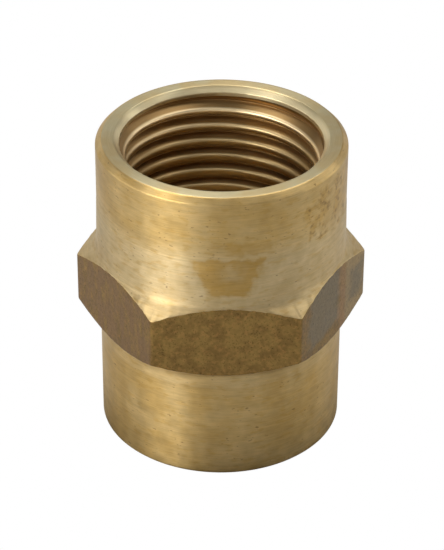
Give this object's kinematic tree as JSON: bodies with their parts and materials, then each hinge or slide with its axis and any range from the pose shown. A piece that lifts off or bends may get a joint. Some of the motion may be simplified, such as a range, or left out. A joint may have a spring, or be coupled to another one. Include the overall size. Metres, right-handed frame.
{
  "type": "reducing coupling",
  "caption": "One-piece brass pipe coupling with a hexagon around its middle and a tapered female pipe thread in each end, one larger than the other.",
  "frame": {"origin": "centre of the small end's rim, which the coupling stands on", "axes": "+Z along the bore axis towards the large end; two hexagon flats face +Y and -Y, and two hexagon corners lie on the X axis"},
  "size_m": [0.0294, 0.0254, 0.0324],
  "materials": {
    "brass": "satin machined brass on the turned ends, duller drawn surface on the hexagon flats"
  },
  "bodies": {
    "root": {"coupling_body": "brass"}
  },
  "joints": []
}
